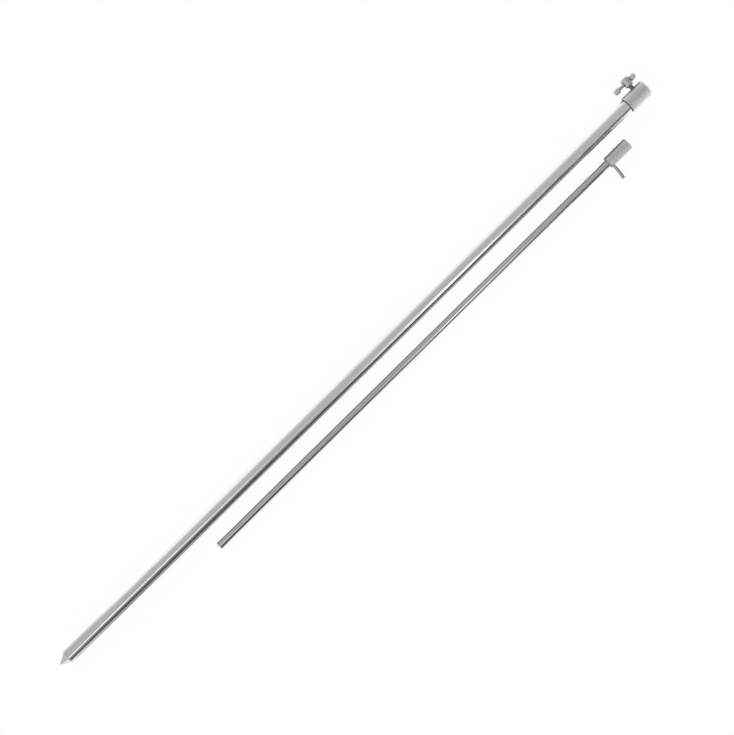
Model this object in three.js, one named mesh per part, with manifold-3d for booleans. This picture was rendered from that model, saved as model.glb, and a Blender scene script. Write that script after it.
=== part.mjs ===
// Bank stick in two sections, laid side by side as when it is taken apart: the outer tube with its
// ground point and clamp collar, and the inner pole with its accessory head.
// Millimetres, +Z up. Both sections run along X, ground point and foot first, and the clamp screw
// stands out towards +Y. The origin is under the middle of the whole, on the surface it lies on.

import * as THREE from 'three';
import { mergeVertices } from 'three/addons/utils/BufferGeometryUtils.js';
import Module from 'manifold-3d';

// Outer tube
const tubeDiameter = 16;
const tubeWall = 1;
const tubeExposedLength = 884.1;
const tubeEndChamfer = 0.3;

// Ground spike: a solid cone with a rounded tip, a shoulder and rim as wide as the tube, and a
// spigot that plugs it
const spikeHalfAngle = THREE.MathUtils.degToRad(27.3);
const spikeTipRadius = 1;
const spikeConeDiameter = 13.2;
const spikeShoulderLength = 1;
const spikeRimLength = 0.8;
const spikeSpigotLength = 20;
const spikeSpigotChamfer = 1;

// Clamp collar: the tube ends in its lower socket, and the pole slides in its guide bore
const collarDiameter = 20;
const collarLength = 29.6;
const collarTopChamfer = 1.8;
const collarLowerChamfer = 0.7;
const collarSocketDepth = 11;
const collarSocketCountersink = 0.4;
const collarGuideChamfer = 0.6;
const clampAxisBelowCollarTop = 12;

// Clamp screw: a metric 6 thread under a cross-drilled barrel head
const threadDiameter = 6;
const threadPitch = 1;
const threadDepth = 0.61;
const screwHeadDiameter = 10;
const screwHeadLength = 11.7;
const screwHeadChamfer = 1.2;
const screwHeadStandoff = 3.6;

// Pressure pad: a loose slug in front of the screw's tip
const padDiameter = 5.2;
const padThickness = 1.2;
const padChamfer = 0.3;
const padRecess = 0.2;

// Tommy bar and its two caps
const barDiameter = 4;
const barTravel = 6.2;
const barEndChamfer = 0.3;
const capDiameter = 7;
const capLength = 7.5;
const capInnerChamfer = 0.8;
const capOuterChamfer = 1.1;
const capBoreDepth = 5;

// Inner pole
const poleDiameter = 8.5;
const poleWall = 1;
const poleExposedLength = 615.7;
const poleEndChamfer = 0.3;
const plugFlangeThickness = 1.5;
const plugFlangeChamfer = 0.5;
const plugSpigotLength = 8;

// Pole head: a socket for the pole, and a female 3/8 inch accessory thread, 20 turns to the inch
const headDiameter = 14;
const headLength = 31.6;
const headTopChamfer = 0.6;
const headLowerChamfer = 0.3;
const headSocketDepth = 12;
const accessoryThreadDiameter = 9.525;
const accessoryThreadPitch = 1.27;
const accessoryThreadDepth = 0.81;
const accessoryThreadLength = 13;
const accessoryMouthChamfer = 0.3;

// Head pin: straight out of the head's side, then bent slightly towards the foot
const pinDiameter = 4;
const pinAxisAboveHeadEnd = 2.7;
const pinStraightLength = 4.2;
const pinBendRadius = 12;
const pinBendAngle = THREE.MathUtils.degToRad(7.8);
const pinEndLength = 12.2;

// How the two sections lie beside each other
const sectionSpacing = 30.6;
const poleFootFromSpikeTip = 221.1;

// Fits: the play around a piece in its hole, and how far a cutting tool runs past a face
const fitGap = 0.3;
const cutOverrun = 1;

// Facets around a turned piece, a small turned piece and a thread, and steps along the bent pin
const turnedSides = 48;
const smallSides = 32;
const threadSides = 24;
const pinSides = 16;
const pinSteps = 16;

const quarterTurn = Math.PI / 2;

const tubeRadius = tubeDiameter / 2;
const tubeBoreRadius = tubeRadius - tubeWall;
const collarRadius = collarDiameter / 2;
const poleRadius = poleDiameter / 2;
const poleBoreRadius = poleRadius - poleWall;
const guideRadius = poleRadius + fitGap;
const headRadius = headDiameter / 2;
const headSocketRadius = poleRadius + fitGap;
const accessoryRadius = accessoryThreadDiameter / 2;
const threadRadius = threadDiameter / 2;
const screwHeadRadius = screwHeadDiameter / 2;
const padRadius = padDiameter / 2;
const barRadius = barDiameter / 2;
const capRadius = capDiameter / 2;
const pinRadius = pinDiameter / 2;

// The cone meets its rounded tip on a tangent, which leaves the tip short of the cone's apex.
const spikeApexLoss = spikeTipRadius / Math.sin(spikeHalfAngle) - spikeTipRadius;
const spikeConeRadius = spikeConeDiameter / 2;
const spikeConeLength = spikeConeRadius / Math.tan(spikeHalfAngle) - spikeApexLoss;
const spikePointLength = spikeConeLength + spikeShoulderLength + spikeRimLength;
const collarTopFromTip = spikePointLength + tubeExposedLength + collarLength;
const clampAxisFromTip = collarTopFromTip - clampAxisBelowCollarTop;

// Distances out from the tube's axis along the clamp screw
const padInnerReach = guideRadius + padRecess;
const screwTipReach = padInnerReach + padThickness + fitGap;
const screwHeadReach = collarRadius + screwHeadStandoff;
const screwOuterReach = screwHeadReach + screwHeadLength;

// Distances along the bar from the screw's axis, with the upper cap home against the screw's head
const upperCapFace = screwHeadRadius + fitGap;
const lowerCapFace = -(upperCapFace + barTravel);
const overallLength = Math.max(collarTopFromTip, clampAxisFromTip + upperCapFace + capLength);

const steel = new THREE.MeshStandardMaterial({ color: 0xb9b9b4, roughness: 0.24, metalness: 1 });
const turnedSteel = new THREE.MeshStandardMaterial({ color: 0xa9aaa5, roughness: 0.32, metalness: 1 });
const nylon = new THREE.MeshStandardMaterial({ color: 0xe6e2d6, roughness: 0.6, metalness: 0 });

const wasm = await Module();
wasm.setup();

// One closed body: corners that coincide are merged, and triangles that collapse are dropped.
function closed(geometry) {
  const bare = geometry.clone();
  bare.deleteAttribute('normal');
  bare.deleteAttribute('uv');
  const merged = mergeVertices(bare);
  const corners = merged.getIndex().array;
  const kept = [];
  for (let first = 0; first < corners.length; first += 3) {
    const [a, b, c] = corners.slice(first, first + 3);
    if (a !== b && b !== c && c !== a) kept.push(a, b, c);
  }
  merged.setIndex(kept);
  return merged;
}

function solidOf(geometry) {
  const body = closed(geometry);
  return new wasm.Manifold(new wasm.Mesh({
    numProp: 3,
    vertProperties: new Float32Array(body.getAttribute('position').array),
    triVerts: new Uint32Array(body.getIndex().array),
  }));
}

function geometryOf(solid) {
  const { vertProperties, triVerts } = solid.getMesh();
  const geometry = new THREE.BufferGeometry();
  geometry.setAttribute('position', new THREE.BufferAttribute(vertProperties, 3));
  geometry.setIndex(new THREE.BufferAttribute(triVerts, 1));
  return geometry;
}

function cut(geometry, tool) {
  return geometryOf(solidOf(geometry).subtract(solidOf(tool)));
}

function join(first, second) {
  return geometryOf(solidOf(first).add(solidOf(second)));
}

// A piece turned about X from an outline of [along, radius] points, which runs out to the rim,
// up the outside and back down the inside or the axis.
function turned(outline, sides = turnedSides) {
  const points = outline.map(([along, radius]) => new THREE.Vector2(radius, along));
  return new THREE.LatheGeometry(points, sides).rotateZ(-quarterTurn);
}

function rod(start, end, radius, sides = smallSides) {
  return turned([[start, 0], [start, radius], [end, radius], [end, 0]], sides);
}

// A plain tube along X with both ends chamfered inside and out.
function chamferedTube(length, outerRadius, innerRadius, chamfer) {
  return turned([
    [0, innerRadius + chamfer],
    [0, outerRadius - chamfer],
    [chamfer, outerRadius],
    [length - chamfer, outerRadius],
    [length, outerRadius - chamfer],
    [length, innerRadius + chamfer],
    [length - chamfer, innerRadius],
    [chamfer, innerRadius],
    [0, innerRadius + chamfer],
  ]);
}

// A rod along X with a right-hand helical thread. Rows of corners follow the helix, by turns at
// the root and at the crest, and a row that would pass an end lies on it at the root.
function threadedRod(length, crestRadius, depth, pitch) {
  const rootRadius = crestRadius - depth;
  const rows = 2 * (Math.ceil(length / pitch) + 1);
  const positions = [];
  for (let row = 0; row <= rows; row += 1) {
    for (let side = 0; side < threadSides + 1; side += 1) {
      const turn = side / threadSides;
      const along = pitch * (row / 2 - 1 + turn);
      const onCrest = row % 2 === 1 && along > 0 && along < length;
      const radius = onCrest ? crestRadius : rootRadius;
      const angle = 2 * Math.PI * (turn % 1);
      positions.push(
        THREE.MathUtils.clamp(along, 0, length),
        radius * Math.cos(angle),
        radius * Math.sin(angle),
      );
    }
  }
  const startCentre = positions.length / 3;
  positions.push(0, 0, 0, length, 0, 0);
  const corners = [];
  const corner = (row, side) => row * (threadSides + 1) + side;
  for (let side = 0; side < threadSides; side += 1) {
    for (let row = 0; row < rows; row += 1) {
      corners.push(corner(row, side), corner(row, side + 1), corner(row + 1, side + 1));
      corners.push(corner(row, side), corner(row + 1, side + 1), corner(row + 1, side));
    }
    corners.push(startCentre, corner(0, side + 1), corner(0, side));
    corners.push(startCentre + 1, corner(rows, side), corner(rows, side + 1));
  }
  const geometry = new THREE.BufferGeometry();
  geometry.setAttribute('position', new THREE.Float32BufferAttribute(positions, 3));
  geometry.setIndex(corners);
  return geometry;
}

function piece(name, geometry, material) {
  const body = closed(geometry).toNonIndexed();
  body.computeVertexNormals();
  const mesh = new THREE.Mesh(body, material);
  mesh.name = name;
  return mesh;
}

function outerTube() {
  const length = tubeExposedLength + collarSocketDepth - fitGap;
  return piece('outer_tube', chamferedTube(length, tubeRadius, tubeBoreRadius, tubeEndChamfer), steel);
}

function groundSpike() {
  const spigotRadius = tubeBoreRadius - fitGap;
  const spigotEnd = spikePointLength + spikeSpigotLength;
  const outline = [[0, 0]];
  const tipSteps = 4;
  for (let step = 1; step <= tipSteps; step += 1) {
    const angle = (quarterTurn - spikeHalfAngle) * (step / tipSteps);
    outline.push([spikeTipRadius * (1 - Math.cos(angle)), spikeTipRadius * Math.sin(angle)]);
  }
  outline.push(
    [spikeConeLength, spikeConeRadius],
    [spikeConeLength + spikeShoulderLength, tubeRadius],
    [spikePointLength, tubeRadius],
    [spikePointLength, spigotRadius],
    [spigotEnd - spikeSpigotChamfer, spigotRadius],
    [spigotEnd, spigotRadius - spikeSpigotChamfer],
    [spigotEnd, 0],
  );
  return piece('ground_spike', turned(outline), turnedSteel);
}

// The lower end is at the origin, and the screw hole opens towards +Y.
function collar() {
  const socketRadius = tubeRadius + fitGap;
  const blank = turned([
    [0, socketRadius + collarSocketCountersink],
    [0, collarRadius - collarLowerChamfer],
    [collarLowerChamfer, collarRadius],
    [collarLength - collarTopChamfer, collarRadius],
    [collarLength, collarRadius - collarTopChamfer],
    [collarLength, guideRadius + collarGuideChamfer],
    [collarLength - collarGuideChamfer, guideRadius],
    [collarSocketDepth, guideRadius],
    [collarSocketDepth, socketRadius],
    [collarSocketCountersink, socketRadius],
    [0, socketRadius + collarSocketCountersink],
  ]);
  const screwHole = rod(0, collarRadius + cutOverrun, threadRadius + fitGap)
    .rotateZ(quarterTurn)
    .translate(collarLength - clampAxisBelowCollarTop, 0, 0);
  return piece('collar', cut(blank, screwHole), turnedSteel);
}

function pressurePad() {
  return piece('pressure_pad', turned([
    [0, 0],
    [0, padRadius - padChamfer],
    [padChamfer, padRadius],
    [padThickness - padChamfer, padRadius],
    [padThickness, padRadius - padChamfer],
    [padThickness, 0],
  ], smallSides), nylon);
}

// The screw's tip is at the origin and its head points along +X, drilled across for the bar.
function clampScrew() {
  const stemLength = screwHeadReach - screwTipReach;
  const head = turned([
    [0, 0],
    [0, screwHeadRadius - screwHeadChamfer],
    [screwHeadChamfer, screwHeadRadius],
    [screwHeadLength - screwHeadChamfer, screwHeadRadius],
    [screwHeadLength, screwHeadRadius - screwHeadChamfer],
    [screwHeadLength, 0],
  ]).translate(stemLength, 0, 0);
  const stem = threadedRod(stemLength + cutOverrun, threadRadius, threadDepth, threadPitch);
  const halfBore = screwHeadRadius + cutOverrun;
  const barHole = rod(-halfBore, halfBore, barRadius + fitGap)
    .rotateZ(quarterTurn)
    .translate(stemLength + screwHeadLength / 2, 0, 0);
  return piece('clamp_screw', cut(join(head, stem), barHole), turnedSteel);
}

// The bar and its caps lie along X, with the screw's axis at the origin.
function tommyBar() {
  const barHold = capBoreDepth - fitGap;
  const barLength = upperCapFace - lowerCapFace + 2 * barHold;
  const bar = piece('tommy_bar', turned([
    [0, 0],
    [0, barRadius - barEndChamfer],
    [barEndChamfer, barRadius],
    [barLength - barEndChamfer, barRadius],
    [barLength, barRadius - barEndChamfer],
    [barLength, 0],
  ], smallSides), steel);
  bar.position.x = lowerCapFace - barHold;
  const lowerCap = tommyCap('tommy_cap_lower');
  lowerCap.position.x = lowerCapFace;
  lowerCap.rotation.z = Math.PI;
  const upperCap = tommyCap('tommy_cap_upper');
  upperCap.position.x = upperCapFace;
  return new THREE.Group().add(bar, lowerCap, upperCap);
}

function tommyCap(name) {
  const boreRadius = barRadius + fitGap;
  return piece(name, turned([
    [capBoreDepth, 0],
    [capBoreDepth, boreRadius],
    [0, boreRadius],
    [0, capRadius - capInnerChamfer],
    [capInnerChamfer, capRadius],
    [capLength - capOuterChamfer, capRadius],
    [capLength, capRadius - capOuterChamfer],
    [capLength, 0],
    [capBoreDepth, 0],
  ], smallSides), turnedSteel);
}

function poleTube() {
  const length = poleExposedLength - plugFlangeThickness + headSocketDepth - fitGap;
  return piece('pole_tube', chamferedTube(length, poleRadius, poleBoreRadius, poleEndChamfer), steel);
}

function poleFootPlug() {
  const spigotRadius = poleBoreRadius - fitGap;
  return piece('pole_foot_plug', turned([
    [0, 0],
    [0, poleRadius - plugFlangeChamfer],
    [plugFlangeChamfer, poleRadius],
    [plugFlangeThickness, poleRadius],
    [plugFlangeThickness, spigotRadius],
    [plugFlangeThickness + plugSpigotLength, spigotRadius],
    [plugFlangeThickness + plugSpigotLength, 0],
  ]), turnedSteel);
}

// The lower end is at the origin, and the pin's hole opens towards -Y.
function poleHead() {
  const minorRadius = accessoryRadius - accessoryThreadDepth;
  const mouthRadius = accessoryRadius + accessoryMouthChamfer;
  const blank = turned([
    [0, headSocketRadius],
    [0, headRadius - headLowerChamfer],
    [headLowerChamfer, headRadius],
    [headLength - headTopChamfer, headRadius],
    [headLength, headRadius - headTopChamfer],
    [headLength, mouthRadius],
    [headLength - (mouthRadius - minorRadius), minorRadius],
    [headLength - (mouthRadius - minorRadius), 0],
    [headSocketDepth, 0],
    [headSocketDepth, headSocketRadius],
    [0, headSocketRadius],
  ]);
  const tap = threadedRod(
    accessoryThreadLength + cutOverrun,
    accessoryRadius,
    accessoryThreadDepth,
    accessoryThreadPitch,
  ).translate(headLength - accessoryThreadLength, 0, 0);
  const pinHole = rod(0, headRadius + cutOverrun, pinRadius + fitGap)
    .rotateZ(-quarterTurn)
    .translate(pinAxisAboveHeadEnd, 0, 0);
  return piece('pole_head', cut(cut(blank, tap), pinHole), turnedSteel);
}

// Starts inside the head's wall, runs out along +X and bends towards -Y.
const pinStart = headSocketRadius;
const pinArcLength = pinBendRadius * pinBendAngle;
const pinStraight = headRadius - pinStart + pinStraightLength;
const pinLength = pinStraight + pinArcLength + pinEndLength;

class PinPath extends THREE.Curve {
  getPoint(share, target = new THREE.Vector3()) {
    const along = share * pinLength;
    const straight = Math.min(along, pinStraight);
    const bent = THREE.MathUtils.clamp(along - pinStraight, 0, pinArcLength) / pinBendRadius;
    const last = Math.max(along - pinStraight - pinArcLength, 0);
    return target.set(
      straight + pinBendRadius * Math.sin(bent) + last * Math.cos(bent),
      -pinBendRadius * (1 - Math.cos(bent)) - last * Math.sin(bent),
      0,
    );
  }
}

function headPin() {
  const section = new THREE.Shape();
  section.setFromPoints(Array.from({ length: pinSides }, (_, side) => {
    const angle = 2 * Math.PI * (side / pinSides);
    return new THREE.Vector2(pinRadius * Math.cos(angle), pinRadius * Math.sin(angle));
  }));
  return piece('head_pin', new THREE.ExtrudeGeometry(section, {
    steps: pinSteps,
    extrudePath: new PinPath(),
    bevelEnabled: false,
  }), steel);
}

const pinTip = new PinPath().getPoint(1);
const pinOuterReach = pinStart + pinTip.x + pinRadius * Math.sin(pinBendAngle);

// The outer section: everything along the tube's axis, with the clamp screw's group on the collar
const outerSection = new THREE.Group();
const spike = groundSpike();
const tube = outerTube();
tube.position.x = spikePointLength;
const clampCollar = collar();
clampCollar.position.x = collarTopFromTip - collarLength;

const screwGroup = new THREE.Group();
screwGroup.position.x = clampAxisFromTip;
screwGroup.rotation.z = quarterTurn;
const pad = pressurePad();
pad.position.x = padInnerReach;
const screw = clampScrew();
screw.position.x = screwTipReach;
screwGroup.add(pad, screw);

const barGroup = tommyBar();
barGroup.position.set(clampAxisFromTip, screwHeadReach + screwHeadLength / 2, 0);
outerSection.add(spike, tube, clampCollar, screwGroup, barGroup);

// The inner section: the pole with its plug, its head and the head's pin
const innerSection = new THREE.Group();
const plug = poleFootPlug();
const pole = poleTube();
pole.position.x = plugFlangeThickness;
const head = poleHead();
head.position.x = poleExposedLength;
const pin = headPin();
pin.position.set(poleExposedLength + pinAxisAboveHeadEnd, -pinStart, 0);
pin.rotation.z = -quarterTurn;
innerSection.add(plug, pole, head, pin);

// Both sections lie on the ground, and the whole is centred along X and Y.
const tubeAxisY = (sectionSpacing + pinOuterReach - screwOuterReach) / 2;
outerSection.position.set(-overallLength / 2, tubeAxisY, collarRadius);
innerSection.position.set(
  poleFootFromSpikeTip - overallLength / 2,
  tubeAxisY - sectionSpacing,
  headRadius,
);

const bankStick = new THREE.Group();
bankStick.add(outerSection, innerSection);

export default bankStick;
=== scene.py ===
import math

import bmesh
import bpy
from mathutils import Matrix, Vector


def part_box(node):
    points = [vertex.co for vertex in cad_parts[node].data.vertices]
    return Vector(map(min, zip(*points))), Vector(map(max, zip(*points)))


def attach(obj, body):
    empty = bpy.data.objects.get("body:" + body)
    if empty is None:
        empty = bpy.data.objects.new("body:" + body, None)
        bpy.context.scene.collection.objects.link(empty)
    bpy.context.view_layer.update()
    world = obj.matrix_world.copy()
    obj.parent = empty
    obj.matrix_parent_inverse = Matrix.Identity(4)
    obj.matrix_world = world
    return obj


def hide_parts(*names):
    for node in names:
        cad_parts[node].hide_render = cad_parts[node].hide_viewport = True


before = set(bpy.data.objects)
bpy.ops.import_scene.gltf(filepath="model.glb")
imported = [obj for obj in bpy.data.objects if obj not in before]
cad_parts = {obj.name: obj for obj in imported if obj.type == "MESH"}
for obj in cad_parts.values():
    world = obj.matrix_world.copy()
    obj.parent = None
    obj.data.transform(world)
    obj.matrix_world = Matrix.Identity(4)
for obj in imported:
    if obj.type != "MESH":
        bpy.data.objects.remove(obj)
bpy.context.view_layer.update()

MM = 0.001
MICROMETRE = 0.000001
ALONG_X = Vector((1, 0, 0))
ALONG_Y = Vector((0, 1, 0))

# Sizes inside the outer section's pieces, which the frame's boxes don't show, in metres
TUBE_WALL = 1 * MM
SPIKE_HALF_ANGLE = math.radians(27.3)
SPIKE_TIP_RADIUS = 1 * MM
SPIKE_SHOULDER_LENGTH = 1 * MM
SPIKE_RIM_LENGTH = 0.8 * MM
SPIKE_SPIGOT_LENGTH = 20 * MM
COLLAR_TOP_CHAMFER = 1.8 * MM
COLLAR_LOWER_CHAMFER = 0.7 * MM
COLLAR_SOCKET_DEPTH = 11 * MM
COLLAR_SOCKET_COUNTERSINK = 0.4 * MM
GUIDE_CHAMFER = 0.6 * MM
SCREW_HOLE_COUNTERSINK = 0.8 * MM

# The same for the clamp screw and its tommy bar
CLAMP_THREAD_DIAMETER = 6 * MM
CLAMP_THREAD_PITCH = 1 * MM
CLAMP_THREAD_DEPTH = 0.61 * MM
SCREW_HEAD_LENGTH = 11.7 * MM
SCREW_HEAD_CHAMFER = 1.2 * MM
SCREW_BORE_COUNTERSINK = 0.25 * MM
CAP_INNER_CHAMFER = 0.8 * MM
CAP_OUTER_CHAMFER = 1.1 * MM
CAP_BORE_DEPTH = 5 * MM

# The same for the inner pole's pieces
POLE_WALL = 1 * MM
PLUG_FLANGE_THICKNESS = 1.5 * MM
PLUG_FLANGE_CHAMFER = 0.5 * MM
HEAD_TOP_CHAMFER = 0.6 * MM
HEAD_LOWER_CHAMFER = 0.3 * MM
HEAD_SOCKET_DEPTH = 12 * MM
ACCESSORY_THREAD_DIAMETER = 9.525 * MM
ACCESSORY_THREAD_PITCH = 1.27 * MM
ACCESSORY_THREAD_DEPTH = 0.81 * MM
ACCESSORY_THREAD_LENGTH = 13 * MM
ACCESSORY_MOUTH_CHAMFER = 0.3 * MM
PIN_STRAIGHT_LENGTH = 4.2 * MM
PIN_BEND_RADIUS = 12 * MM
PIN_BEND_ANGLE = math.radians(7.8)
PIN_END_LENGTH = 12.2 * MM

# What all pieces share
FIT_GAP = 0.3 * MM
CUT_OVERRUN = 1 * MM
EDGE_ROUNDING = 0.15 * MM
SOFT_EDGE_ROUNDING = 0.3 * MM
THREAD_ROOT_SHARE = 0.25
THREAD_CREST_SHARE = 0.125

# How finely the meshes are made
BIG_SIDES = 128
SMALL_SIDES = 96
THREAD_SIDES = 48
THREAD_SPARE_TURNS = 2
PIN_SIDES = 48
PIN_BEND_STEPS = 8
TIP_STEPS = 8
EDGE_SEGMENTS = 3
CORNER_ANGLE = math.radians(20)
SHARP_ANGLE = math.radians(35)
MERGE_DISTANCE = 0.002 * MM


# Mesh helpers

def bm_to_piece(bm, name, start, direction):
    """Puts a mesh made along X at the start point, pointing in the direction, and makes it an object."""
    turn = ALONG_X.rotation_difference(direction).to_matrix().to_4x4()
    bmesh.ops.transform(bm, matrix=Matrix.Translation(start) @ turn, verts=bm.verts[:])
    mesh = bpy.data.meshes.new(name)
    bm.to_mesh(mesh)
    bm.free()
    piece = bpy.data.objects.new(name, mesh)
    bpy.context.scene.collection.objects.link(piece)
    return piece


def round_corners(bm, width):
    corners = [
        edge for edge in bm.edges
        if edge.is_manifold and edge.calc_face_angle() > CORNER_ANGLE
    ]
    bmesh.ops.bevel(
        bm, geom=corners, offset=width, offset_type="OFFSET", segments=EDGE_SEGMENTS,
        profile=0.5, affect="EDGES", clamp_overlap=True, material=-1,
    )


def chained(bm, points):
    """Vertices joined one to the next by edges."""
    verts = [bm.verts.new(point) for point in points]
    for first, second in zip(verts, verts[1:]):
        bm.edges.new((first, second))
    return verts


def merge(bm):
    bmesh.ops.remove_doubles(bm, verts=bm.verts[:], dist=MERGE_DISTANCE)


def turned(name, outline, start, direction=ALONG_X, sides=BIG_SIDES, rounding=EDGE_ROUNDING):
    """A piece turned from an outline of (along, radius) points, which starts and ends on the axis or
    is a ring that closes on itself."""
    bm = bmesh.new()
    verts = chained(bm, [(along, 0, radius) for along, radius in outline])
    is_ring = outline[0][1] > 0
    if is_ring:
        bm.edges.new((verts[-1], verts[0]))
    bmesh.ops.spin(
        bm, geom=bm.verts[:] + bm.edges[:], cent=(0, 0, 0), axis=ALONG_X,
        angle=math.tau, steps=sides, use_merge=True,
    )
    merge(bm)
    bmesh.ops.recalc_face_normals(bm, faces=bm.faces[:])
    if rounding:
        round_corners(bm, rounding)
    return bm_to_piece(bm, name, start, direction)


def threaded(name, length, diameter, depth, pitch, start, direction=ALONG_X):
    """A rod with a right-hand thread: one pitch of the outline is spun and moved on together, and
    the thread runs out to its root at both ends."""
    crest = diameter / 2
    root = crest - depth
    half_root = THREAD_ROOT_SHARE / 2
    half_crest = THREAD_CREST_SHARE / 2
    one_pitch = (
        (0, root), (half_root, root), (0.5 - half_crest, crest),
        (0.5 + half_crest, crest), (1 - half_root, root), (1, root),
    )
    bm = bmesh.new()
    chained(bm, [((share - 1) * pitch, 0, radius) for share, radius in one_pitch])
    turns = math.ceil(length / pitch) + THREAD_SPARE_TURNS
    bmesh.ops.spin(
        bm, geom=bm.verts[:] + bm.edges[:], cent=(0, 0, 0), axis=ALONG_X,
        dvec=(pitch / THREAD_SIDES, 0, 0), angle=math.tau * turns, steps=turns * THREAD_SIDES,
    )
    merge(bm)
    for along, side in ((0, -1), (length, 1)):
        everything = bm.verts[:] + bm.edges[:] + bm.faces[:]
        bmesh.ops.bisect_plane(
            bm, geom=everything, plane_co=(along, 0, 0), plane_no=(side, 0, 0), clear_outer=True,
        )
    merge(bm)
    bmesh.ops.holes_fill(bm, edges=[edge for edge in bm.edges if edge.is_boundary], sides=0)
    for vert in bm.verts:
        radius = math.hypot(vert.co.y, vert.co.z)
        widest = root + max(0, min(vert.co.x, length - vert.co.x))
        if radius > widest:
            vert.co.y *= widest / radius
            vert.co.z *= widest / radius
    bmesh.ops.triangulate(bm, faces=bm.faces[:])
    bmesh.ops.recalc_face_normals(bm, faces=bm.faces[:])
    return bm_to_piece(bm, name, start, direction)


def carve(piece, tool, operation="DIFFERENCE"):
    """Cuts the tool out of the piece, or joins it on, welds what that leaves, and removes the tool."""
    step = piece.modifiers.new("carve", "BOOLEAN")
    step.operation = operation
    step.solver = "EXACT"
    step.object = tool
    shaped = piece.evaluated_get(bpy.context.evaluated_depsgraph_get())
    mesh = bpy.data.meshes.new_from_object(shaped)
    bm = bmesh.new()
    bm.from_mesh(mesh)
    bmesh.ops.dissolve_degenerate(bm, edges=bm.edges[:], dist=MERGE_DISTANCE)
    merge(bm)
    bm.to_mesh(mesh)
    bm.free()
    piece.modifiers.clear()
    piece.data = mesh
    bpy.data.objects.remove(tool)


def dress(piece, body, node, material):
    """Smooth shading with true flat faces, the piece's material, and what it stands for."""
    piece.data.shade_smooth()
    piece.data.set_sharp_from_angle(angle=SHARP_ANGLE)
    normals = piece.modifiers.new("flat_faces", "WEIGHTED_NORMAL")
    normals.keep_sharp = True
    piece.data.materials.clear()
    piece.data.materials.append(material)
    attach(piece, body)
    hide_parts(node)


class Round:
    """Where a round CAD node lies: its lower end, its length and its radius, along X or along Y."""

    def __init__(self, node, direction=ALONG_X):
        low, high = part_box(node)
        middle = (low + high) / 2
        if direction is ALONG_X:
            self.start = Vector((low.x, middle.y, middle.z))
            self.length = high.x - low.x
            self.radius = (high.z - low.z) / 2
        else:
            self.start = Vector((middle.x, low.y, middle.z))
            self.length = high.y - low.y
            self.radius = (high.x - low.x) / 2


# Shader helpers

class Value:
    """A shader socket that Python's operators work on, each as a Math node."""

    def __init__(self, tree, socket):
        self.tree = tree
        self.socket = socket

    def maths(self, operation, first, second):
        node = self.tree.nodes.new("ShaderNodeMath")
        node.operation = operation
        connect(self.tree, node.inputs[0], first)
        connect(self.tree, node.inputs[1], second)
        return Value(self.tree, node.outputs[0])

    def __add__(self, other):
        return self.maths("ADD", self, other)

    def __radd__(self, other):
        return self.maths("ADD", other, self)

    def __sub__(self, other):
        return self.maths("SUBTRACT", self, other)

    def __rsub__(self, other):
        return self.maths("SUBTRACT", other, self)

    def __mul__(self, other):
        return self.maths("MULTIPLY", self, other)

    def __rmul__(self, other):
        return self.maths("MULTIPLY", other, self)

    def __truediv__(self, other):
        return self.maths("DIVIDE", self, other)

    def __pow__(self, other):
        return self.maths("POWER", self, other)


def connect(tree, slot, value):
    if isinstance(value, Value):
        tree.links.new(value.socket, slot)
    else:
        slot.default_value = value


def grey(level):
    return (level, level, level, 1)


class Shader:
    """A node tree in the making, of a material or of the world."""

    def __init__(self, owner):
        owner.use_nodes = True
        self.tree = owner.node_tree
        self.tree.nodes.clear()

    def node(self, kind, settings=None, sockets=(), output=0, **values):
        """Adds one node. Settings come first, then the sockets get their values or links, in order
        where they come as a list and by name where they come as names."""
        node = self.tree.nodes.new("ShaderNode" + kind)
        for name, setting in (settings or {}).items():
            if name == "stops":
                self.set_stops(node.color_ramp, setting)
            else:
                setattr(node, name, setting)
        for slot, value in zip(node.inputs, sockets):
            connect(self.tree, slot, value)
        for name, value in values.items():
            label = name.replace("_", " ")
            slot = next(s for s in node.inputs if s.enabled and s.name == label)
            connect(self.tree, slot, value)
        return Value(self.tree, node.outputs[output]) if node.outputs else None

    @staticmethod
    def set_stops(ramp, stops):
        """Gives a colour ramp, which starts with two stops, these grey ones."""
        ramp.elements.remove(ramp.elements[1])
        for number, (place, level) in enumerate(stops):
            element = ramp.elements.new(place) if number else ramp.elements[0]
            element.position = place
            element.color = grey(level)

    def parts(self, vector):
        split = self.node("SeparateXYZ", Vector=vector)
        return [Value(self.tree, part) for part in split.socket.node.outputs]

    def smooth(self, value, low, high):
        """0 below low, 1 above high, and a soft step between."""
        settings = {"interpolation_type": "SMOOTHSTEP"}
        return self.node("MapRange", settings, Value=value, From_Min=low, From_Max=high)

    def within(self, value, limits, edge):
        """1 between the limits and 0 outside them, with soft edges half in and half out."""
        low, high = limits
        after = self.smooth(value, low - edge / 2, low + edge / 2)
        return after * self.smooth(value, high + edge / 2, high - edge / 2)

    def blended(self, mask, first, second):
        """The first colour where the mask is 0 and the second where it is 1."""
        return self.node("Mix", {"data_type": "RGBA"}, output=2, Factor=mask, A=first, B=second)

    def either(self, mask, first, second):
        """The first surface where the mask is 0 and the second where it is 1."""
        return self.node("MixShader", sockets=(mask, first, second))

    def paint(self, colour, glow):
        """A matt surface that also glows, in a colour that may change over it."""
        matt = self.node("BsdfDiffuse", Color=colour)
        lit = self.node("Emission", Color=glow, Strength=1.0)
        return self.node("AddShader", sockets=(matt, lit))


# Steel finishes. Colours are fresh and dull, heights of marks are in metres, and their numbers are
# in features per metre.

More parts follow.
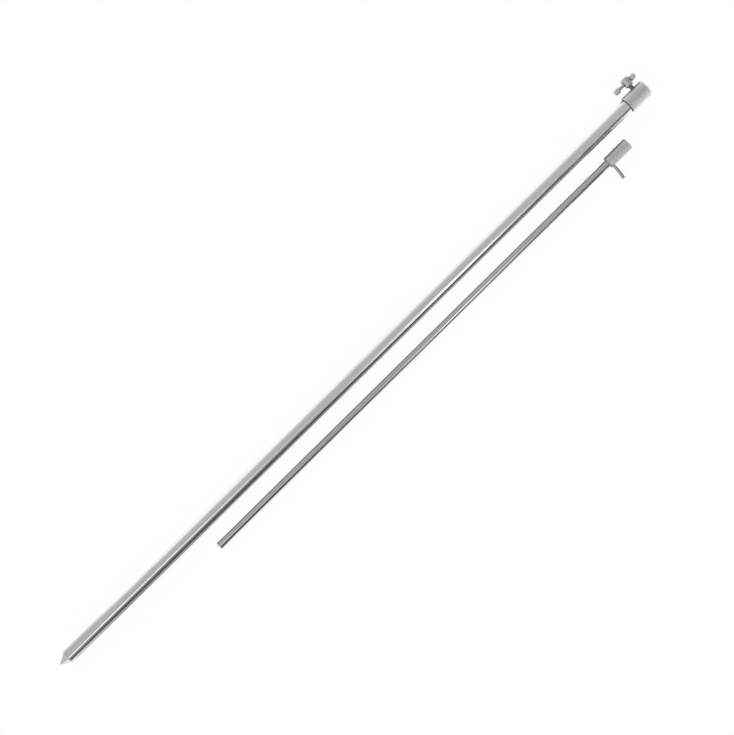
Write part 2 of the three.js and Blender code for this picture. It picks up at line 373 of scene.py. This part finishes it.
POLISHED_STEEL = ((0.735, 0.735, 0.725, 1), (0.665, 0.668, 0.655, 1))
DRAWN_STEEL = ((0.580, 0.582, 0.570, 1), (0.510, 0.514, 0.500, 1))
TURNED_STEEL = ((0.640, 0.642, 0.628, 1), (0.560, 0.565, 0.548, 1))
# Painted shade: a near-black colour laid into joints, along the screw's thread and round the bar's bore,
# where shade falls
PAINTED_SHADE_COLOUR = (0.075, 0.073, 0.068, 1)
PAINTED_SHADE_ROUGHENING = 0.25
SEAM = 0.35 * MM
TUBE_JOINT_WIDTH = 2.5 * SEAM
TUBE_JOINT_SHADE = 0.85
COLLAR_RIM_SHADE = 0.5
THREAD_SHADE = 0.35
BORE_RIM = 3.2 * MM
BORE_RIM_EDGE_SHARES = (1.15, 0.85)
BORE_RIM_SHADE = 0.85

STREAKS_ALONG = 24
STREAKS_ACROSS = 4200
STREAKS = {"Scale": 1, "Detail": 3, "Roughness": 0.6}
STREAK_DULLING = 0.3
STREAK_ROUGHENING = 0.05
RINGS_ALONG = 5200
RING_SLANT = 1.3
RINGS = {"Scale": 1, "Detail": 2, "Roughness": 0.5}
RING_ROUGHENING = 0.03
SMUDGES = {"Scale": 34, "Detail": 3, "Roughness": 0.55}
SMUDGE_LEVELS = (0.42, 0.72)
SMUDGE_DULLING = 0.5
SMUDGE_ROUGHENING = 0.05
SPECKS = {"Scale": 900, "Detail": 2, "Roughness": 0.7}
SPECK_LEVELS = (0.66, 0.78)
SPECK_DULLING = 0.2
SPECK_ROUGHENING = 0.08
BUMP_FILTER = 0.02


class Finish:
    """How steel was worked: its colours, the heights of its streaks and rings, and its roughness."""

    def __init__(self, colours, streaks, rings, roughness):
        self.colours = colours
        self.streaks = streaks
        self.rings = rings
        self.roughness = roughness


POLISHED = Finish(POLISHED_STEEL, 1.6 * MICROMETRE, 0, 0.10)
DRAWN = Finish(DRAWN_STEEL, 1.2 * MICROMETRE, 0, 0.07)
SATIN = Finish(TURNED_STEEL, 0, 1.5 * MICROMETRE, 0.36)
FINE_TURNED = Finish(TURNED_STEEL, 0, 1 * MICROMETRE, 0.24)
FINE_TURNED_SPIKE = Finish(TURNED_STEEL, 0, 1 * MICROMETRE, 0.22)
BRIGHT_TURNED = Finish(TURNED_STEEL, 0, 1 * MICROMETRE, 0.16)


class PaintedShadeRing:
    """Painted shade in a joint: a dark ring between two distances along the piece."""

    def __init__(self, low, high, depth):
        self.limits = (low, high)
        self.depth = depth


def steel(name, finish, start, direction=ALONG_X, painted_shade=None, bore=None):
    """Stainless steel on Object coordinates: polishing streaks along the piece, lathe rings about its
    own axis, and smudges and specks that dull both. Painted shade darkens a joint, and the rim of a
    cross bore, which is given by its distance along the piece."""
    material = bpy.data.materials.new(name)
    shader = Shader(material)
    place = shader.node("TexCoord", output="Object")
    centred = shader.node("VectorMath", {"operation": "SUBTRACT"}, (place, start))
    x, y, z = shader.parts(centred)
    along, across, up = (x, y, z) if direction is ALONG_X else (y, x, z)
    radius = (across * across + up * up) ** 0.5

    stretched = shader.node(
        "CombineXYZ", X=along * STREAKS_ALONG, Y=across * STREAKS_ACROSS, Z=up * STREAKS_ACROSS,
    )
    streaks = shader.node("TexNoise", Vector=stretched, **STREAKS)
    turning = shader.node("CombineXYZ", X=(along + radius * RING_SLANT) * RINGS_ALONG)
    rings = shader.node("TexNoise", Vector=turning, **RINGS)
    smudges = shader.smooth(shader.node("TexNoise", Vector=place, **SMUDGES), *SMUDGE_LEVELS)
    specks = shader.smooth(shader.node("TexNoise", Vector=place, **SPECKS), *SPECK_LEVELS)

    height = streaks * finish.streaks + rings * finish.rings
    bump = shader.node("Bump", Strength=1, Distance=1, Filter_Width=BUMP_FILTER, Height=height)
    roughness = finish.roughness + streaks * STREAK_ROUGHENING + smudges * SMUDGE_ROUGHENING
    roughness = roughness + rings * RING_ROUGHENING + specks * SPECK_ROUGHENING
    dullness = smudges * SMUDGE_DULLING + streaks * STREAK_DULLING + specks * SPECK_DULLING
    colour = shader.blended(dullness, *finish.colours)
    # Painted shade: a dark ring where a joint lies in shade
    if painted_shade:
        shade_amount = shader.within(along, painted_shade.limits, SEAM) * painted_shade.depth
        colour = shader.blended(shade_amount, colour, PAINTED_SHADE_COLOUR)
        roughness = roughness + shade_amount * PAINTED_SHADE_ROUGHENING
    # Painted shade round the rim of a cross bore
    if bore:
        off_axis = ((along - bore) * (along - bore) + up * up) ** 0.5
        edges = [BORE_RIM * share for share in BORE_RIM_EDGE_SHARES]
        shade_amount = shader.smooth(off_axis, *edges) * BORE_RIM_SHADE
        colour = shader.blended(shade_amount, colour, PAINTED_SHADE_COLOUR)
    surface = shader.node(
        "BsdfPrincipled", Base_Color=colour, Metallic=1, Roughness=roughness, Normal=bump,
    )
    shader.node("OutputMaterial", Surface=surface)
    return material


NYLON_FRESH = (0.78, 0.75, 0.66, 1)
NYLON_DULL = (0.70, 0.66, 0.56, 1)
NYLON_GRAIN = {"Scale": 2600, "Detail": 3, "Roughness": 0.6}
NYLON_GRAIN_HEIGHT = 0.03 * MM
NYLON_BUMP = 0.4
NYLON_ROUGHNESS = 0.5
NYLON_GRAIN_ROUGHENING = 0.15


def nylon(name):
    material = bpy.data.materials.new(name)
    shader = Shader(material)
    place = shader.node("TexCoord", output="Object")
    grain = shader.node("TexNoise", Vector=place, **NYLON_GRAIN)
    colour = shader.blended(grain, NYLON_FRESH, NYLON_DULL)
    bump = shader.node("Bump", Strength=NYLON_BUMP, Distance=NYLON_GRAIN_HEIGHT, Height=grain)
    roughness = NYLON_ROUGHNESS + grain * NYLON_GRAIN_ROUGHENING
    surface = shader.node("BsdfPrincipled", Base_Color=colour, Roughness=roughness, Normal=bump)
    shader.node("OutputMaterial", Surface=surface)
    return material


# The outer section

def outer_tube():
    tube = Round("outer_tube")
    bore = tube.radius - TUBE_WALL
    outline = ((0, bore), (0, tube.radius), (tube.length, tube.radius), (tube.length, bore))
    piece = turned("polished_outer_tube", outline, tube.start)
    joint = Round("collar").start.x - tube.start.x
    # Painted shade: a dark ring on the tube just below the collar, where the joint lies in shade
    painted_shade = PaintedShadeRing(joint - TUBE_JOINT_WIDTH, joint + SEAM, TUBE_JOINT_SHADE)
    finish = steel("outer_tube_steel", POLISHED, tube.start, painted_shade=painted_shade)
    dress(piece, "outer_section", "outer_tube", finish)


def ground_spike():
    spike = Round("ground_spike")
    spigot = Round("outer_tube").radius - TUBE_WALL - FIT_GAP
    rim_end = spike.length - SPIKE_SPIGOT_LENGTH
    cone_end = rim_end - SPIKE_RIM_LENGTH - SPIKE_SHOULDER_LENGTH
    apex_loss = SPIKE_TIP_RADIUS / math.sin(SPIKE_HALF_ANGLE) - SPIKE_TIP_RADIUS
    outline = [(0, 0)]
    for step in range(1, TIP_STEPS + 1):
        angle = (math.pi / 2 - SPIKE_HALF_ANGLE) * step / TIP_STEPS
        outline.append((SPIKE_TIP_RADIUS * (1 - math.cos(angle)), SPIKE_TIP_RADIUS * math.sin(angle)))
    outline += [
        (cone_end, (cone_end + apex_loss) * math.tan(SPIKE_HALF_ANGLE)),
        (cone_end + SPIKE_SHOULDER_LENGTH, spike.radius),
        (rim_end, spike.radius),
        (rim_end, spigot),
        (spike.length, spigot),
        (spike.length, 0),
    ]
    piece = turned("turned_ground_spike", outline, spike.start)
    finish = steel("spike_steel", FINE_TURNED_SPIKE, spike.start)
    dress(piece, "outer_section", "ground_spike", finish)


def collar():
    collar = Round("collar")
    socket = Round("outer_tube").radius + FIT_GAP
    guide = Round("pole_tube").radius + FIT_GAP
    outline = (
        (0, socket + COLLAR_SOCKET_COUNTERSINK),
        (0, collar.radius - COLLAR_LOWER_CHAMFER),
        (COLLAR_LOWER_CHAMFER, collar.radius),
        (collar.length - COLLAR_TOP_CHAMFER, collar.radius),
        (collar.length, collar.radius - COLLAR_TOP_CHAMFER),
        (collar.length, guide + GUIDE_CHAMFER),
        (collar.length - GUIDE_CHAMFER, guide),
        (COLLAR_SOCKET_DEPTH, guide),
        (COLLAR_SOCKET_DEPTH, socket),
        (COLLAR_SOCKET_COUNTERSINK, socket),
    )
    piece = turned("turned_collar", outline, collar.start)
    screw_hole = CLAMP_THREAD_DIAMETER / 2 + FIT_GAP
    reach = collar.radius + CUT_OVERRUN
    hole_start = Vector((Round("clamp_screw", ALONG_Y).start.x, collar.start.y, collar.start.z))
    outline = (
        (0, 0),
        (0, screw_hole),
        (collar.radius - SCREW_HOLE_COUNTERSINK, screw_hole),
        (reach, screw_hole + SCREW_HOLE_COUNTERSINK + CUT_OVERRUN),
        (reach, 0),
    )
    carve(piece, turned("screw_hole", outline, hole_start, ALONG_Y, SMALL_SIDES, 0))
    # Painted shade: a dark ring on the collar's lower rim, where it meets the tube
    painted_shade = PaintedShadeRing(-SEAM, SEAM, COLLAR_RIM_SHADE)
    finish = steel("collar_steel", SATIN, collar.start, painted_shade=painted_shade)
    dress(piece, "outer_section", "collar", finish)


def pressure_pad():
    pad = Round("pressure_pad", ALONG_Y)
    outline = ((0, 0), (0, pad.radius), (pad.length, pad.radius), (pad.length, 0))
    piece = turned(
        "nylon_pressure_pad", outline, pad.start, ALONG_Y, SMALL_SIDES, SOFT_EDGE_ROUNDING,
    )
    dress(piece, "pressure_pad", "pressure_pad", nylon("natural_nylon"))


def clamp_screw():
    screw = Round("clamp_screw", ALONG_Y)
    bar = Round("tommy_bar")
    stem = screw.length - SCREW_HEAD_LENGTH
    outline = (
        (0, 0),
        (0, screw.radius - SCREW_HEAD_CHAMFER),
        (SCREW_HEAD_CHAMFER, screw.radius),
        (SCREW_HEAD_LENGTH - SCREW_HEAD_CHAMFER, screw.radius),
        (SCREW_HEAD_LENGTH, screw.radius - SCREW_HEAD_CHAMFER),
        (SCREW_HEAD_LENGTH, 0),
    )
    head_start = screw.start + ALONG_Y * stem
    piece = turned("turned_clamp_screw", outline, head_start, ALONG_Y, SMALL_SIDES)
    thread = threaded(
        "clamp_thread", stem + CUT_OVERRUN, CLAMP_THREAD_DIAMETER, CLAMP_THREAD_DEPTH,
        CLAMP_THREAD_PITCH, screw.start, ALONG_Y,
    )
    carve(piece, thread, "UNION")

    # The bar's bore, with a countersink at both ends, each one overrun away from its cutter's end
    bore = bar.radius + FIT_GAP
    flare = bore + SCREW_BORE_COUNTERSINK + CUT_OVERRUN
    countersink_end = CUT_OVERRUN + SCREW_BORE_COUNTERSINK
    length = 2 * (screw.radius + CUT_OVERRUN)
    bore_start = Vector((screw.start.x - length / 2, bar.start.y, bar.start.z))
    outline = (
        (0, 0),
        (0, flare),
        (countersink_end, bore),
        (length - countersink_end, bore),
        (length, flare),
        (length, 0),
    )
    carve(piece, turned("bar_bore", outline, bore_start, ALONG_X, SMALL_SIDES, 0))
    # Painted shade along the thread and the head's lower chamfer, under the head
    painted_shade = PaintedShadeRing(-SEAM, stem + SCREW_HEAD_CHAMFER, THREAD_SHADE)
    # Painted shade: a dark rim round the tommy bar's bore, where the bar enters the head
    bore_place = bar.start.y - screw.start.y
    finish = steel("screw_steel", SATIN, screw.start, ALONG_Y, painted_shade, bore_place)
    dress(piece, "clamp_screw", "clamp_screw", finish)


def tommy_bar():
    bar = Round("tommy_bar")
    outline = ((0, 0), (0, bar.radius), (bar.length, bar.radius), (bar.length, 0))
    piece = turned("sliding_tommy_bar", outline, bar.start, ALONG_X, SMALL_SIDES)
    finish = steel("bar_steel", DRAWN, bar.start)
    dress(piece, "tommy_bar", "tommy_bar", finish)


def tommy_cap(node, open_end_is_low):
    cap = Round(node)
    bore = Round("tommy_bar").radius + FIT_GAP
    outline = (
        (CAP_BORE_DEPTH, 0),
        (CAP_BORE_DEPTH, bore),
        (0, bore),
        (0, cap.radius - CAP_INNER_CHAMFER),
        (CAP_INNER_CHAMFER, cap.radius),
        (cap.length - CAP_OUTER_CHAMFER, cap.radius),
        (cap.length, cap.radius - CAP_OUTER_CHAMFER),
        (cap.length, 0),
    )
    start = cap.start if open_end_is_low else cap.start + ALONG_X * cap.length
    direction = ALONG_X if open_end_is_low else -ALONG_X
    piece = turned("turned_" + node, outline, start, direction, SMALL_SIDES)
    finish = steel(node + "_steel", BRIGHT_TURNED, cap.start)
    dress(piece, "tommy_bar", node, finish)


# The inner pole

def pole_tube():
    pole = Round("pole_tube")
    bore = pole.radius - POLE_WALL
    outline = ((0, bore), (0, pole.radius), (pole.length, pole.radius), (pole.length, bore))
    piece = turned("polished_pole_tube", outline, pole.start)
    finish = steel("pole_tube_steel", DRAWN, pole.start)
    dress(piece, "inner_pole", "pole_tube", finish)


def pole_foot_plug():
    plug = Round("pole_foot_plug")
    spigot = Round("pole_tube").radius - POLE_WALL - FIT_GAP
    outline = (
        (0, 0),
        (0, plug.radius - PLUG_FLANGE_CHAMFER),
        (PLUG_FLANGE_CHAMFER, plug.radius),
        (PLUG_FLANGE_THICKNESS, plug.radius),
        (PLUG_FLANGE_THICKNESS, spigot),
        (plug.length, spigot),
        (plug.length, 0),
    )
    piece = turned("turned_foot_plug", outline, plug.start, ALONG_X, SMALL_SIDES)
    finish = steel("plug_steel", FINE_TURNED, plug.start)
    dress(piece, "inner_pole", "pole_foot_plug", finish)


def pole_head():
    head = Round("pole_head")
    socket = Round("pole_tube").radius + FIT_GAP
    crest = ACCESSORY_THREAD_DIAMETER / 2
    root = crest - ACCESSORY_THREAD_DEPTH
    mouth = crest + ACCESSORY_MOUTH_CHAMFER
    mouth_end = head.length - (mouth - root)
    outline = (
        (HEAD_SOCKET_DEPTH, 0),
        (HEAD_SOCKET_DEPTH, socket),
        (0, socket),
        (0, head.radius - HEAD_LOWER_CHAMFER),
        (HEAD_LOWER_CHAMFER, head.radius),
        (head.length - HEAD_TOP_CHAMFER, head.radius),
        (head.length, head.radius - HEAD_TOP_CHAMFER),
        (head.length, mouth),
        (mouth_end, root),
        (mouth_end, 0),
    )
    piece = turned("turned_pole_head", outline, head.start)
    tap_start = head.start + ALONG_X * (head.length - ACCESSORY_THREAD_LENGTH)
    tap = threaded(
        "accessory_tap", ACCESSORY_THREAD_LENGTH + CUT_OVERRUN, ACCESSORY_THREAD_DIAMETER,
        ACCESSORY_THREAD_DEPTH, ACCESSORY_THREAD_PITCH, tap_start,
    )
    carve(piece, tap)
    pin_radius, pin_start = pin_root()
    pin_hole = pin_radius + FIT_GAP
    reach = head.radius + CUT_OVERRUN
    hole_start = Vector((pin_start.x, head.start.y, head.start.z))
    outline = ((0, 0), (0, pin_hole), (reach, pin_hole), (reach, 0))
    carve(piece, turned("pin_hole", outline, hole_start, -ALONG_Y, SMALL_SIDES, 0))
    finish = steel("head_steel", SATIN, head.start)
    dress(piece, "inner_pole", "pole_head", finish)


def pin_root():
    """The pin's radius, and the middle of the end that is in the head's wall."""
    low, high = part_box("head_pin")
    radius = (high.z - low.z) / 2
    return radius, Vector((high.x - radius, high.y, (low.z + high.z) / 2))


def push(bm, faces, way):
    """Extrudes the faces along the way and gives back where they end."""
    moved = bmesh.ops.extrude_face_region(bm, geom=faces)["geom"]
    verts = [part for part in moved if isinstance(part, bmesh.types.BMVert)]
    bmesh.ops.translate(bm, verts=verts, vec=way)
    bmesh.ops.delete(bm, geom=faces, context="FACES_KEEP_BOUNDARY")
    return faces_of(moved)


def faces_of(geometry):
    return [part for part in geometry if isinstance(part, bmesh.types.BMFace)]


def head_pin():
    radius, start = pin_root()
    straight = Round("pole_head").radius - Round("pole_tube").radius - FIT_GAP + PIN_STRAIGHT_LENGTH
    bm = bmesh.new()
    upright = Matrix.Rotation(math.pi / 2, 4, "Y")
    bmesh.ops.create_circle(bm, cap_ends=True, segments=PIN_SIDES, radius=radius, matrix=upright)
    base = bmesh.ops.duplicate(bm, geom=bm.faces[:])["geom"]
    straight_end = push(bm, faces_of(base), (straight, 0, 0))
    bent = bmesh.ops.spin(
        bm, geom=straight_end, cent=(straight, -PIN_BEND_RADIUS, 0), axis=(0, 0, -1),
        angle=PIN_BEND_ANGLE, steps=PIN_BEND_STEPS,
    )["geom_last"]
    bmesh.ops.delete(bm, geom=straight_end, context="FACES_KEEP_BOUNDARY")
    way = Vector((math.cos(PIN_BEND_ANGLE), -math.sin(PIN_BEND_ANGLE), 0)) * PIN_END_LENGTH
    push(bm, faces_of(bent), way)
    merge(bm)
    bmesh.ops.recalc_face_normals(bm, faces=bm.faces[:])
    round_corners(bm, SOFT_EDGE_ROUNDING)
    piece = bm_to_piece(bm, "bent_head_pin", start, -ALONG_Y)
    finish = steel("pin_steel", DRAWN, start, ALONG_Y)
    dress(piece, "inner_pole", "head_pin", finish)


outer_tube()
ground_spike()
collar()
pressure_pad()
clamp_screw()
tommy_bar()
tommy_cap("tommy_cap_lower", False)
tommy_cap("tommy_cap_upper", True)
pole_tube()
pole_foot_plug()
pole_head()
head_pin()


# The table, which the camera sees nearly white, and which steel mirrors patch by patch, each patch a
# painted light or a painted shade

TABLE_REACH = 6
TABLE_IN_STEEL = grey(0.72)
TABLE_IN_ROOM = grey(0.8)
TABLE_SEEN = grey(0.12)
TABLE_SEEN_GLOW = grey(0.92)
NO_GLOW = grey(0)


class Patch:
    """A stretch of the table that steel mirrors brighter or darker, between two places along X and
    two across, in metres, with soft edges."""

    def __init__(self, along, across, glow, along_edge=4 * MM, across_edge=4 * MM):
        self.along = along
        self.across = across
        self.glow = glow
        self.along_edge = along_edge
        self.across_edge = across_edge


# Each patch is painted over the ones before it
PATCHES = (
    # Both sides of the spike, and the gap between the two sections
    Patch((-TABLE_REACH, -0.405), (-TABLE_REACH, TABLE_REACH), 0.32, 0.09),
    Patch((-0.24, 0.365), (-0.008, 0.003), 0.52),
    # Beyond the pole, the shade by its upper end and the light beside its head
    Patch((-0.23, TABLE_REACH), (-0.044, -0.024), 0.52, 0.02),
    Patch((0.315, 0.366), (-0.09, -0.022), 0),
    Patch((0.376, 0.418), (-0.10, -0.044), 0.52),
    # Past the collar's top and past the spike's tip
    Patch((0.427, TABLE_REACH), (-TABLE_REACH, TABLE_REACH), 0.82, 0.018),
    Patch((-TABLE_REACH, -0.4515), (-TABLE_REACH, 0.023), 0.82, 0.009, 0.014),
    # The tube's +Y side, and the shade by the clamp
    Patch((-0.405, TABLE_REACH), (0.023, TABLE_REACH), 0.82, 0.09, 0.014),
    Patch((0.432, 0.487), (0.020, 0.042), 0),
)


def table():
    bm = bmesh.new()
    bmesh.ops.create_grid(bm, x_segments=1, y_segments=1, size=TABLE_REACH)
    piece = bm_to_piece(bm, "floor", Vector((0, 0, 0)), ALONG_X)
    material = bpy.data.materials.new("pale_table")
    shader = Shader(material)
    x, y, _ = shader.parts(shader.node("TexCoord", output="Object"))
    by_camera = shader.node("LightPath", output="Is Camera Ray")
    by_camera = by_camera + shader.node("LightPath", output="Is Transmission Ray")
    by_steel = shader.node("LightPath", output="Is Glossy Ray")
    glow = 0
    for patch in PATCHES:
        inside = shader.within(x, patch.along, patch.along_edge)
        inside = inside * shader.within(y, patch.across, patch.across_edge)
        glow = glow + (patch.glow - glow) * inside
    in_steel = shader.paint(TABLE_IN_STEEL, glow)
    unseen = shader.either(by_steel, shader.paint(TABLE_IN_ROOM, NO_GLOW), in_steel)
    seen = shader.paint(TABLE_SEEN, TABLE_SEEN_GLOW)
    shader.node("OutputMaterial", Surface=shader.either(by_camera, unseen, seen))
    piece.data.materials.append(material)


# The room, which only steel sees: its brightness by the angle about X, in degrees from straight up
# towards -Y, and soft-edged panels between two such angles and two slopes along X
ROOM = (
    (-180, 1.1), (-100, 1.1), (-88, 1.05), (-69, 0.80), (-50, 0.66), (-33, 0.60), (0, 0.60),
    (33, 0.60), (66, 0.62), (100, 1.0), (180, 1.1),
)
AXIS_MARGIN = 0.0001


class Panel:
    def __init__(self, angles, slopes, level, angle_edge, slope_edge):
        self.angles = angles
        self.slopes = slopes
        self.level = level
        self.angle_edge = angle_edge
        self.slope_edge = slope_edge


PANELS = (
    # The dim wall on the +Y side that greys the tube's edge by the spike
    Panel((-110, -52), (-9, -0.205), 0.45, 12, 0.02),
    # What the spike's cone mirrors: an even wall, and a lamp on its -Y side
    Panel((-115, 75), (-3.6, -0.9), 0.82, 20, 0.4),
    Panel((75, 115), (-3.6, -0.35), 1.9, 16, 0.10),
    # A lamp and a dark screen past the heads, which their chamfers mirror
    Panel((40, 110), (0.250, 0.75), 1.7, 10, 0.012),
    Panel((2, 60), (0.48, 5), 0.02, 5, 0.15),
    # The dark band along both tubes, and where it is wider
    Panel((62, 98), (-0.30, 0.240), 0.02, 8, 0.012),
    Panel((36, 66), (-0.30, -0.02), 0.17, 8, 0.05),
    Panel((46, 66), (0.12, 0.234), 0.30, 8, 0.03),
    Panel((44, 66), (0.150, 0.240), 0.08, 8, 0.03),
    # Two narrow lamps: the bright line on the lower half, and the one past the middle
    Panel((12, 20), (-0.30, -0.10), 2.2, 4, 0.06),
    Panel((27, 59), (0.024, 0.100), 2.0, 7, 0.03),
)


def studio():
    world = bpy.data.worlds.new("soft_studio")
    bpy.context.scene.world = world
    shader = Shader(world)
    x, y, z = shader.parts(shader.node("TexCoord", output="Generated"))
    towards_minus_y = y * -1
    angle = shader.node("Math", {"operation": "ARCTAN2"}, (towards_minus_y, z)) * (180 / math.pi)
    slope = x / (y * y + z * z + AXIS_MARGIN) ** 0.5

    stops = [((degrees + 180) / 360, level) for degrees, level in ROOM]
    room = shader.node("ValToRGB", {"stops": stops}, Fac=(angle + 180) / 360)
    for panel in PANELS:
        inside = shader.within(angle, panel.angles, panel.angle_edge)
        inside = inside * shader.within(slope, panel.slopes, panel.slope_edge)
        room = shader.blended(inside, room, grey(panel.level))
    by_camera = shader.node("LightPath", output="Is Camera Ray")
    backdrop = shader.blended(by_camera, room, grey(1))
    light = shader.node("Background", Color=backdrop, Strength=1)
    shader.node("OutputWorld", Surface=light)


# The camera looks straight down. The photograph's frame is 734 pixels wide, and these are the
# places in it, in pixels counted from 0, of the spike's tip and of the middle of the collar's top.
PHOTO_WIDTH = 734
PHOTO_HEIGHT = 735
TIP_PIXEL = Vector((59.75, 664.2))
COLLAR_PIXEL = Vector((645.7, 86.6))
CAMERA_HEIGHT_IN_PIXELS = 1750
SENSOR_WIDTH = 36


def camera():
    spike = Round("ground_spike")
    collar = Round("collar")
    length = collar.start.x + collar.length - spike.start.x
    along = COLLAR_PIXEL - TIP_PIXEL
    pixel = length / along.length
    along.normalize()
    across = Vector((-along.y, along.x))
    middle = Vector((PHOTO_WIDTH - 1, PHOTO_HEIGHT - 1)) / 2 - TIP_PIXEL
    data = bpy.data.cameras.new("camera")
    data.sensor_width = SENSOR_WIDTH
    data.sensor_fit = "HORIZONTAL"
    data.lens = SENSOR_WIDTH * CAMERA_HEIGHT_IN_PIXELS / PHOTO_WIDTH
    eye = bpy.data.objects.new("camera", data)
    bpy.context.scene.collection.objects.link(eye)
    eye.location = (
        spike.start.x + middle.dot(along) * pixel,
        spike.start.y - middle.dot(across) * pixel,
        spike.start.z + CAMERA_HEIGHT_IN_PIXELS * pixel,
    )
    eye.rotation_euler = (0, 0, math.atan2(along.y, along.x))
    bpy.context.scene.camera = eye


table()
studio()
camera()
bpy.context.scene.view_settings.view_transform = "Standard"
